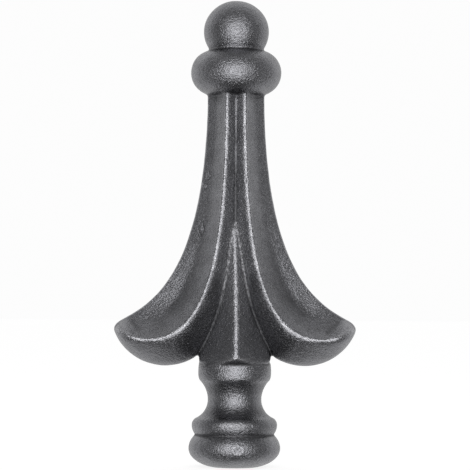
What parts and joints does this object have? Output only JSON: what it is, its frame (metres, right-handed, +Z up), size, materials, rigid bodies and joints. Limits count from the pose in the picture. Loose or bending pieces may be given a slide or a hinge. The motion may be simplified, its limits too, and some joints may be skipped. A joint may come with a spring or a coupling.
{
  "type": "fence spear finial",
  "caption": "Cast-iron railing finial with a ball and bead on top, a fluted shaft that flares into two side petals, a ridged core between them, and a turned base with a flat foot.",
  "frame": {"origin": "centre of the flat foot, where the finial meets the top of its bar", "axes": "+Z up along the bar's axis to the ball, +X to one petal's tip, -Y to the front face"},
  "size_m": [0.0804, 0.0306, 0.155],
  "materials": {
    "cast_iron": "bare dark-grey iron with a fine-grained, softly glossy cast skin, paler along the worn ridges"
  },
  "bodies": {
    "root": {"spear_finial": "cast_iron"}
  },
  "joints": []
}
